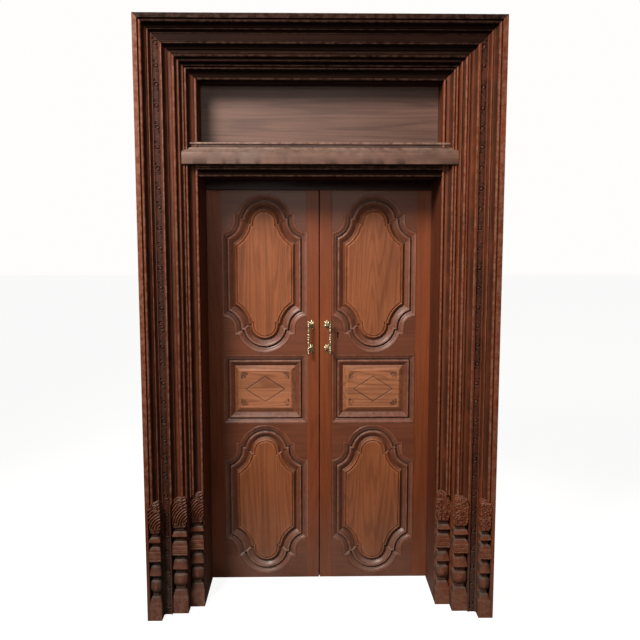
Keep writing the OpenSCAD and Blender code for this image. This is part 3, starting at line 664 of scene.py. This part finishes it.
def handle(name, side, material, body, node):
    """A pull handle: a beaded bar on two swept arms that grow out of leaf plates."""
    shells = Shells()
    low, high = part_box(node)
    middle, half = (low.z + high.z) / 2, (high.z - low.z) / 2
    bar_x, bar_y = side * BAR_X, LEAF_FACE - BAR_OUT
    z = np.linspace(-half, half, 180)
    bead = np.zeros_like(z)
    for spot, reach, fullness in HANDLE_BEADS:
        share = np.clip(1 - ((np.abs(z) - spot * MM) / (reach * MM)) ** 2, 0, 1)
        bead = np.maximum(bead, np.sqrt(share) * fullness)
    radii = 2 * MM + 3.9 * MM * bead
    radii *= np.sqrt(np.clip((half - np.abs(z)) / (4 * MM), 0.02, 1))
    lathe(shells, bar_x, bar_y, middle + z, radii, bead)
    for end in (-1, 1):
        plate_x, plate_z = side * PLATE_X, middle + end * PLATE_RISE
        leaf_plate(shells, plate_x, plate_z, end)
        t = np.linspace(0, 1, 18)[:, None]
        path = np.concatenate([plate_x + (bar_x - plate_x) * t ** 2, LEAF_FACE - 2 * MM - 38 * MM * t,
                               plate_z + 0 * t], 1)
        rod(shells, path, (4.4 + 2.2 * (1 - t[:, 0]) ** 3 + 0.9 * np.exp(-((t[:, 0] - 0.5) / 0.09) ** 2)) * MM)
    piece(name, shells, [material], body, [node], 40)


# ---- Node helpers

def feed(node, inputs):
    """Feeds a node's inputs, by number or by name, from other sockets or with plain values."""
    for key, source in inputs.items():
        if isinstance(source, bpy.types.NodeSocket):
            node.id_data.links.new(source, node.inputs[key])
        else:
            node.inputs[key].default_value = source


def made(tree, kind, inputs={}, **settings):
    """A new shader node with its settings and its inputs."""
    node = tree.nodes.new("ShaderNode" + kind)
    for key, value in settings.items():
        setattr(node, key, value)
    feed(node, inputs)
    return node


def noise(vector, scale, detail=3.0, roughness=0.55):
    """Fractal noise from 0 to 1; three scales stretch it along the axes."""
    if isinstance(scale, tuple):
        vector, scale = stretch(vector, scale), 1.0
    return made(vector.id_data, "TexNoise", {"Vector": vector, "Scale": scale, "Detail": detail,
                                             "Roughness": roughness}).outputs["Fac"]


def calc(operation, first, second=0.0, clamp=False):
    """One sum, in the tree of the socket it takes."""
    tree = next(value.id_data for value in (first, second) if isinstance(value, bpy.types.NodeSocket))
    return made(tree, "Math", {0: first, 1: second}, operation=operation, use_clamp=clamp).outputs[0]


def times(first, second):
    """Two values multiplied."""
    return calc("MULTIPLY", first, second)


def plus(first, second, clamp=False):
    """Two values added."""
    return calc("ADD", first, second, clamp)


def stretch(vector, scale, place=(0, 0, 0), turn=(0, 0, 0)):
    """A Mapping node: turned, moved and scaled coordinates."""
    inputs = {"Vector": vector, "Location": place, "Rotation": turn, "Scale": scale}
    return made(vector.id_data, "Mapping", inputs).outputs[0]


def between(value, low, high, out_low=0.0, out_high=1.0):
    """Moves a value's range to another, eased and clamped."""
    inputs = {"Value": value, "From Min": low, "From Max": high, "To Min": out_low, "To Max": out_high}
    return made(value.id_data, "MapRange", inputs, interpolation_type="SMOOTHSTEP").outputs[0]


def blend(share, first, second):
    """Mixes two colours."""
    return made(share.id_data, "Mix", {"Factor": share, 6: first, 7: second}, data_type="RGBA").outputs[2]


def laid_over(colour, mask, strength, over):
    """A colour with another laid over it where a mask shows, at a strength."""
    return blend(times(mask, strength), colour, (*over, 1))


def group(name, given, masks):
    """An empty shader group fed with a vector and values; returns it with what it is given and its output node."""
    tree = bpy.data.node_groups.new(name, "ShaderNodeTree")
    tree.interface.new_socket("Vector", in_out="INPUT", socket_type="NodeSocketVector")
    for side, labels in (("INPUT", given), ("OUTPUT", masks)):
        for label in labels:
            tree.interface.new_socket(label, in_out=side, socket_type="NodeSocketFloat")
    return tree, tree.nodes.new("NodeGroupInput").outputs, tree.nodes.new("NodeGroupOutput")


def use(shared, inputs):
    """Places a shared group in a material with its own values."""
    return made(inputs["Vector"].id_data, "Group", inputs, node_tree=shared).outputs


# ---- Shared effects

def teak_grain_group():
    """Teak with its grain along the vector's third direction: figure, streaks and pores.

    Tone = long streaks + slow blotches + fibres - growth lines; Height = fibres - pores.
    The growth lines are the level lines of a slow noise, as a sawn board shows them.
    """
    tree, given, out = group("teak grain", ["Figure"], ["Tone", "Pores", "Height"])
    vector = given["Vector"]
    contour = noise(vector, (5.0, 5.0, 0.3), 2.5, 0.4)
    lines = between(calc("SINE", times(contour, 190.0)), 0.0, 1.0)
    figure = times(lines, given["Figure"])
    streaks = noise(vector, (90, 90, 2.2), 4.0, 0.6)
    blotches = noise(vector, (7, 7, 1.6), 2.0)
    fibres = noise(vector, (420, 420, 9), 3.0, 0.6)
    pores = between(noise(vector, (900, 900, 34), 2.0), 0.6, 0.7)
    tone = calc("SUBTRACT", times(streaks, 0.55), times(figure, 0.2))
    tone = plus(tone, times(blotches, 0.65))
    tone = plus(tone, times(fibres, 0.3))
    relief = calc("SUBTRACT", plus(fibres, times(streaks, 0.6)), times(pores, 0.8))
    feed(out, {"Tone": between(tone, 0.36, 1.0), "Pores": pores, "Height": relief})
    return tree


def age_group():
    """Where age and painted light show: rubbed arrises with painted highlight, grime with painted shade in hollows,
    dust with painted sheen on faces that look up, and grey weathered patches.

    Rubbed and glint = worn x broken noise; Grime and shade = hollow x patchy noise; Dust and sheen = faces that look
    up x noise, more near the floor.
    """
    tree, given, out = group("age", ["Worn", "Hollow"], ["Rubbed", "Grime", "Dust", "Weathered"])
    vector = given["Vector"]
    broken = noise(vector, 42.0, 4.0, 0.65)
    # Pale arrises: rubbed wood, and painted highlight where light catches the edges.
    rubbed = times(given["Worn"], between(broken, 0.38, 0.62))
    soot = noise(vector, 9.0, 3.0)
    # Dark hollows: grime, and painted shade where shade falls in grooves and carving.
    grime = times(given["Hollow"], between(soot, 0.15, 0.6, 0.45, 1.0))
    facing = made(tree, "SeparateXYZ", {0: made(tree, "NewGeometry").outputs["Normal"]})
    # Faces that look up get paler: dust, and painted sheen where light from above falls on them.
    dust = times(between(facing.outputs[2], 0.35, 0.95), between(broken, 0.3, 0.6))
    height = made(tree, "SeparateXYZ", {0: vector}).outputs[2]
    near_floor = times(between(height, 0.52, 0.05), between(soot, 0.25, 0.6, 0.4, 1.0))
    dust = plus(times(dust, plus(1.0, near_floor)), times(near_floor, 0.5), True)
    weathered = between(noise(vector, (3, 3, 1.4), 3.0), 0.5, 0.72)
    feed(out, {"Rubbed": rubbed, "Grime": grime, "Dust": dust, "Weathered": weathered})
    return tree


GRAIN = teak_grain_group()
AGE = age_group()
UPRIGHT, LEVEL = (0, 0, 0), (0, math.radians(90), 0)
# Soot colour for grime and painted shade in hollows; pale grey for dust and painted sheen on faces that look up.
SOOT, FLOOR_DUST = (0.012, 0.006, 0.004), (0.3, 0.25, 0.21)


def aged(objects):
    """The age effect with its painted light and shade, fed by the mesh's own worn and hollow attributes."""
    marks = {label: made(objects.id_data, "Attribute", attribute_name=label.lower()).outputs["Fac"]
             for label in ("Worn", "Hollow")}
    return use(AGE, {"Vector": objects, **marks})


def raised(height, strength, distance):
    """The normals of a fine relief."""
    return made(height.id_data, "Bump", {"Height": height, "Strength": strength, "Distance": distance}).outputs[0]


def start_material(name):
    """A new material with its shader, and its Object coordinates."""
    material = bpy.data.materials.new(name)
    material.use_nodes = True
    tree = material.node_tree
    return material, tree.nodes["Principled BSDF"], made(tree, "TexCoord").outputs["Object"]


def teak(name, light, dark, grain, place, figure=0.5, rubbed=0.5, grime=0.8, dust=0.25, grey=0.2, coat=0.08,
         gloss=0.3, arris=None):
    """Oiled teak: light and dark grain, darker pores, and by the shared effects grime with painted shade in hollows,
    rubbed wood with painted highlight on arrises, and dust with painted sheen on faces that look up.
    """
    material, shader, objects = start_material(name)
    turned = stretch(objects, (1, 1, 1), place, grain)
    wood = use(GRAIN, {"Vector": turned, "Figure": figure})
    age = aged(objects)
    colour = blend(wood["Tone"], (*dark, 1), (*light, 1))
    deep = (dark[0] * 0.4, dark[1] * 0.35, dark[2] * 0.35)
    faded = [0.55 * sum(light) / 3 + 0.55 * c for c in light]
    # Pale arris colour: rubbed wood and painted highlight.
    pale = arris or [min(1.0, c * 1.8 + 0.008) for c in light]
    # Layers over the grain: pores, weathering, grime with painted shade, rubbed arrises with painted highlight, dust
    # with painted sheen.
    for mask, strength, over in ((wood["Pores"], 0.45, deep), (age["Weathered"], grey, faded),
                                 (age["Grime"], grime, SOOT), (age["Rubbed"], rubbed, pale),
                                 (age["Dust"], dust, FLOOR_DUST)):
        colour = laid_over(colour, mask, strength, over)
    rough = plus(times(wood["Height"], 0.16), 0.42)
    rough = plus(rough, times(age["Grime"], 0.25), True)
    feed(shader, {"Base Color": colour, "Roughness": rough, "Specular IOR Level": gloss, "Coat Weight": coat,
                        "Coat Roughness": 0.3, "Normal": raised(wood["Height"], 0.25, 0.6 * MM)})
    return material


def brass():
    """Old cast brass: bright where it stands proud, as rubbed metal and painted highlight, greenish brown in its
    hollows.
    """
    material, shader, objects = start_material("old brass")
    age = aged(objects)
    patches = noise(objects, 130.0, 4.0, 0.6)
    colour = blend(between(patches, 0.35, 0.65), (0.44, 0.38, 0.20, 1), (0.74, 0.68, 0.46, 1))
    colour = laid_over(colour, age["Grime"], 0.85, (0.05, 0.043, 0.02))
    colour = laid_over(colour, age["Rubbed"], 0.7, (0.86, 0.82, 0.64))
    feed(shader, {"Base Color": colour, "Roughness": between(patches, 0.3, 0.7, 0.28, 0.5),
                        "Metallic": 1.0, "Normal": raised(patches, 0.2, 0.4 * MM)})
    return material


def iron():
    """Forged iron gone brown: dark scale with rust blooms and a dimpled surface."""
    material, shader, objects = start_material("forged iron")
    mill_scale = noise(objects, 85.0, 5.0, 0.6)
    rust = between(noise(objects, 24.0, 4.0, 0.65), 0.5, 0.68)
    colour = blend(mill_scale, (0.03, 0.028, 0.027, 1), (0.10, 0.092, 0.086, 1))
    colour = laid_over(colour, rust, 0.6, (0.17, 0.07, 0.032))
    feed(shader, {"Base Color": colour, "Metallic": calc("SUBTRACT", 0.75, times(rust, 0.5)),
                        "Roughness": between(mill_scale, 0.2, 0.8, 0.4, 0.72),
                        "Normal": raised(mill_scale, 0.35, 0.6 * MM)})
    return material


# ---- The door's own finishes

def left_and_right(name, tones, shift, **looks):
    """One finish for both sides of the frame, each with its own light and dark tone, so that one side is painted in
    shade and the other in light.
    """
    return {side: teak(f"{label} {name}", light, dark, UPRIGHT, (shift * side, 0, 0), **looks)
            for (side, label), (light, dark) in zip(SIDES, tones)}


# The left tones are darker than the right: painted shade on the left jamb and band, painted light on the right, as the
# key lamp stands to the left.
JAMB_TEAK = left_and_right("jamb teak", (((0.145, 0.035, 0.013), (0.050, 0.011, 0.004)),
                                         ((0.215, 0.052, 0.018), (0.080, 0.018, 0.006))), 0.3, figure=0.3,
                           rubbed=0.6, gloss=0.12, coat=0.02, arris=(0.22, 0.105, 0.068))
HEADER_TEAK = teak("header teak", (0.017, 0.0060, 0.0040), (0.006, 0.0022, 0.0015), LEVEL, (0, 0.2, 0.7), figure=0.3,
                   rubbed=0.5, grey=0.0, coat=0.0, gloss=0.03, dust=0.0, arris=(0.075, 0.038, 0.027))
CARVED_TEAK = left_and_right("carved band teak", (((0.100, 0.027, 0.013), (0.042, 0.011, 0.005)),
                                                  ((0.150, 0.040, 0.018), (0.064, 0.016, 0.007))), 0.9, figure=0.2,
                             rubbed=0.4, grime=0.97, gloss=0.12, coat=0.02, dust=0.2)
SILL_TEAK = teak("worn sill teak", (0.150, 0.072, 0.050), (0.066, 0.029, 0.019), LEVEL, (0, 0.5, 0.1), figure=0.3,
                 rubbed=0.6, grey=0.5, arris=(0.30, 0.18, 0.14))
POST_TEAK = teak("post teak", (0.120, 0.030, 0.011), (0.052, 0.011, 0.004), UPRIGHT, (1.7, 0, 0), grey=0.1, gloss=0.2)
LINTEL_TEAK = teak("lintel teak", (0.030, 0.010, 0.006), (0.012, 0.004, 0.003), LEVEL, (0, 0.9, 0.4), grey=0.1,
                   gloss=0.1, dust=0.05)
TRANSOM_TEAK = teak("transom teak", (0.135, 0.066, 0.047), (0.055, 0.024, 0.016), LEVEL, (0.4, 0.1, 0.2), figure=0.6)
STILE_TEAK = teak("stile teak", (0.215, 0.052, 0.016), (0.112, 0.025, 0.007), UPRIGHT, (2.3, 0, 0), grey=0.08,
                  gloss=0.2)
RAIL_TEAK = teak("rail teak", (0.160, 0.044, 0.018), (0.090, 0.023, 0.009), LEVEL, (0, 1.3, 0.6), grey=0.1, coat=0.14)
MOULD_TEAK = teak("panel moulding teak", (0.185, 0.047, 0.017), (0.090, 0.022, 0.008), UPRIGHT, (2.9, 0.4, 0),
                  figure=0.3, rubbed=0.5, grime=0.85, gloss=0.5, coat=0.25, arris=(0.33, 0.16, 0.10))
PANEL_TEAK = teak("panel teak", (0.280, 0.087, 0.032), (0.135, 0.040, 0.0145), UPRIGHT, (3.1, 0, 0.3), figure=0.8,
                  grey=0.12, gloss=0.2)
TABLET_TEAK = teak("tablet teak", (0.420, 0.160, 0.074), (0.200, 0.066, 0.027), LEVEL, (0.2, 2.1, 0.9), figure=0.9,
                   grey=0.08, grime=0.9)
BRASS = brass()
IRON = iron()


# ---- The frame's timbers

def jambs():
    """The three stepped jambs with their feet and the vine band, on both sides."""
    for side, label in SIDES:
        seed = 100 if side < 0 else 200
        for member, outline, *sizes in (
                ("outer", outer_section(), 0, A_BAND, BAND_Y, OUTER_BACK, FOOT_MARGIN, 0, seed),
                ("middle", middle_section(), A_MIDDLE, A_INNER - A_MIDDLE, MIDDLE_FOOT_Y + MIDDLE_CORE, MIDDLE_BACK, 0,
                 MIDDLE_FOOT_Y, seed + 30),
                ("inner", inner_section(), A_INNER, A_END - A_INNER, INNER_FOOT_Y + INNER_CORE, INNER_BACK, 0,
                 INNER_FOOT_Y, seed + 60)):
            shells = Shells()
            jamb(shells, outline, side, *sizes)
            piece(f"{member}_moulding_{label}", shells, [JAMB_TEAK[side]], "frame", [f"{member}_jamb_{label}"])
        shells = Shells()
        outline = band_edges()
        carry(shells, outline, 0.0, TOP - A_BAND - outline[:, 0], on_jamb(side, A_BAND), seed + 90, 1.8 * MM,
              vine(seed + 91))
        piece("carved_band_" + label, shells, [CARVED_TEAK[side]], "frame", ["vine_band_" + label])


def headers():
    """The mouldings over the jambs, mitred to them; the outer one carries its plain band."""
    for member, runs in (("outer", ((outer_section(), 0, 310), (band_edges(), A_BAND, 320))),
                         ("middle", ((middle_section(), A_MIDDLE, 330),)),
                         ("inner", ((inner_section(), A_INNER, 340),))):
        shells = Shells()
        for outline, a, seed in runs:
            reach = HALF_W - a - outline[:, 0]
            carry(shells, outline, -reach, reach, on_header(a), seed, lip=LIP if a == 0 else 0.0)
        piece(member + "_header_moulding", shells, [HEADER_TEAK], "frame", [member + "_header"])


def doorway_head():
    """The worn sill under the transom and the moulding below it."""
    reach = OPENING + A_END - A_INNER - 2 * MM
    def ragged(across, along):
        low_edge = ease((across - 90 * MM) / (8 * MM)) * np.clip(ripple(along, 0.03, 401) * 2, 0, 1)
        return 2.2 * MM * low_edge + 0.5 * MM * (1 + ripple_2d(across, along, 30 * MM, 402))
    shells = Shells()
    carry(shells, sill_section(), -reach, reach, on_lintel, 400, 5 * MM, ragged)
    piece("worn_sill", shells, [SILL_TEAK], "frame", ["transom_sill"])
    shells = Shells()
    carry(shells, door_head_section(), -OPENING + MM, OPENING - MM, on_lintel, 410)
    piece("door_head_beads", shells, [HEADER_TEAK], "frame", ["door_head_moulding"])


def dark_slips():
    """On the right leaf, two near-black slips that paint shade: a slim strip stops the light between the leaves and
    paints the seam dark, a plate paints the shade that makes the keyhole read as deep.
    """
    low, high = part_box("right_meeting_stile")
    for name, near, far, chamfer in (
            ("draught_strip", (-1.05 * MM, LEAF_FACE + 16 * MM, low.z + MM),
             (1.9 * MM, LEAF_FACE + 22 * MM, high.z - MM), 0.2 * MM),
            ("keyhole_shade", (KEYHOLE_X - 8 * MM, LEAF_FACE + 11 * MM, KEYHOLE_Z - KEYHOLE_DROP - 4 * MM),
             (KEYHOLE_X + 8 * MM, LEAF_FACE + 20 * MM, KEYHOLE_Z + 8 * MM), 0.5 * MM)):
        shells = Shells()
        block(shells, near, far, chamfer)
        # Near-black header teak on both: painted shade.
        piece(name, shells, [HEADER_TEAK], "right_leaf", [])


def leaf(side, label):
    """One leaf: stiles and rails with eased arrises, three raised panels and its handle."""
    body, seed = label + "_leaf", 500 if side < 0 else 600
    for part in ("hinge_stile", "meeting_stile", "top_rail", "upper_rail", "lower_rail", "bottom_rail"):
        width, material = (1.2 * MM, STILE_TEAK) if "stile" in part else (0.6 * MM, RAIL_TEAK)
        eased(f"{label}_{part}", width, material, body)
    low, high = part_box(label + "_middle_panel")
    middle, half = (low.z + high.z) / 2, (high.z - low.z) / 2 + FIT / 2
    away = half + WEB + SCROLLED_H / 2
    panel(label + "_tablet", side, label + "_middle_panel", [MOULD_TEAK, TABLET_TEAK], body, False, middle, half, seed)
    for level, rise, more in (("upper", away, 10), ("lower", -away, 20)):
        panel(f"{label}_{level}_scrolled_panel", side, f"{label}_{level}_panel", [MOULD_TEAK, PANEL_TEAK], body, True,
              middle + rise, 0, seed + more)
    handle(label + "_pull", side, BRASS, body, label + "_handle")


def plain_timbers():
    """Posts, lintel, top beam and transom panel: their CAD shapes with eased arrises."""
    for node, material, slot in (("left_post", POST_TEAK, "teak"), ("right_post", POST_TEAK, "teak"),
                                 ("lintel", LINTEL_TEAK, "dark_teak"), ("top_beam", LINTEL_TEAK, "dark_teak"),
                                 ("transom_panel", TRANSOM_TEAK, "light_teak")):
        eased(node, 1.5 * MM, material, "frame")


def ironwork():
    """Hinges, pins, screws, lock and bolts keep their CAD shapes and take iron or brass."""
    for name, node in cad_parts.items():
        if not node.hide_render:
            node.data.materials.clear()
            node.data.materials.append(BRASS if name in ("lock_bolt", "tower_bolt") else IRON)


# ---- Floor, light and camera

SURROUND_SEEN, SURROUND_LIGHT, SURROUND_SHINE = 1.0, 0.10, 0.06
FLOOR_SEEN, FLOOR_HALF = 0.92, 30.0

# Name, power, spot, target, radius and cone of each lamp: a key from the upper left, one in front, one behind
LAMPS = (("key", 1020, (-1.75, FRONT - 2.4, 3.85), (0, FRONT, 1.6), 0.7, 80),
         ("front fill", 170, (-0.2, FRONT - 3.8, 2.5), (0, FRONT, 1.9), 0.7, 52),
         ("back fill", 420, (2.0, -FRONT + 3.6, 3.4), (0, 0, 1.3), 0.5, 80))

# The camera: its place, how far it looks down and to the side in radians, and its lens in millimetres
CAMERA_SPOT, LOOK_DOWN, LOOK_ASIDE = (-0.0626, FRONT - 3.2107, 1.7304), 0.1122, -0.0182
LENS, FILM = 41.94, 36.0


def studio_floor():
    """A large pale floor, matt, and lifted to the surround's tone where it is seen."""
    material, shader, _ = start_material("pale floor")
    seen = made(shader.id_data, "LightPath").outputs["Is Camera Ray"]
    feed(shader, {"Base Color": (0.30, 0.29, 0.28, 1), "Roughness": 0.9, "Specular IOR Level": 0.1,
                        "Emission Color": (1, 1, 1, 1), "Emission Strength": times(seen, FLOOR_SEEN)})
    mesh = bpy.data.meshes.new("floor")
    corners = [(x * FLOOR_HALF, y * FLOOR_HALF, 0) for x, y in ((-1, -1), (1, -1), (1, 1), (-1, 1))]
    mesh.from_pydata(corners, [], [(0, 1, 2, 3)])
    mesh.materials.append(material)
    placed("floor", mesh)


def surround():
    """An even pale surround: bright where it is seen, dim as light, so that the carving keeps its shadows."""
    world = bpy.data.worlds.new("pale surround")
    world.use_nodes = True
    tree = world.node_tree
    path = made(tree, "LightPath").outputs
    light = between(path["Is Glossy Ray"], 0.0, 1.0, SURROUND_LIGHT, SURROUND_SHINE)
    strength = between(path["Is Camera Ray"], 0.0, 1.0, light, SURROUND_SEEN)
    feed(tree.nodes["Background"], {"Color": (1, 0.985, 0.97, 1), "Strength": strength})
    bpy.context.scene.world = world


def lamp(name, energy, spot, target, radius, cone):
    """A round soft lamp at a spot, turned to a target, its beam fading towards the edge of its cone."""
    light = bpy.data.lights.new(name, "SPOT")
    light.energy, light.shadow_soft_size = energy, radius
    light.spot_size, light.spot_blend = math.radians(cone), 1.0
    light.color = (1.0, 0.95, 0.88)
    holder = placed(name, light)
    holder.location = spot
    aim = np.array(target) - np.array(spot)
    holder.rotation_euler = (math.atan2(math.hypot(aim[0], aim[1]), -aim[2]), 0, math.atan2(-aim[0], aim[1]))


def studio():
    """Floor, surround, the three lamps and the camera."""
    studio_floor()
    surround()
    for row in LAMPS:
        lamp(*row)
    lens = bpy.data.cameras.new("camera")
    lens.lens, lens.sensor_width = LENS, FILM
    lens.clip_start, lens.clip_end = 0.05, 100
    camera = placed("camera", lens)
    camera.location = CAMERA_SPOT
    camera.rotation_euler = (math.pi / 2 - LOOK_DOWN, 0, LOOK_ASIDE)
    bpy.context.scene.camera = camera
    bpy.context.scene.view_settings.view_transform = "Standard"


jambs()
headers()
doorway_head()
plain_timbers()
for side, label in SIDES:
    leaf(side, label)
dark_slips()
ironwork()
studio()
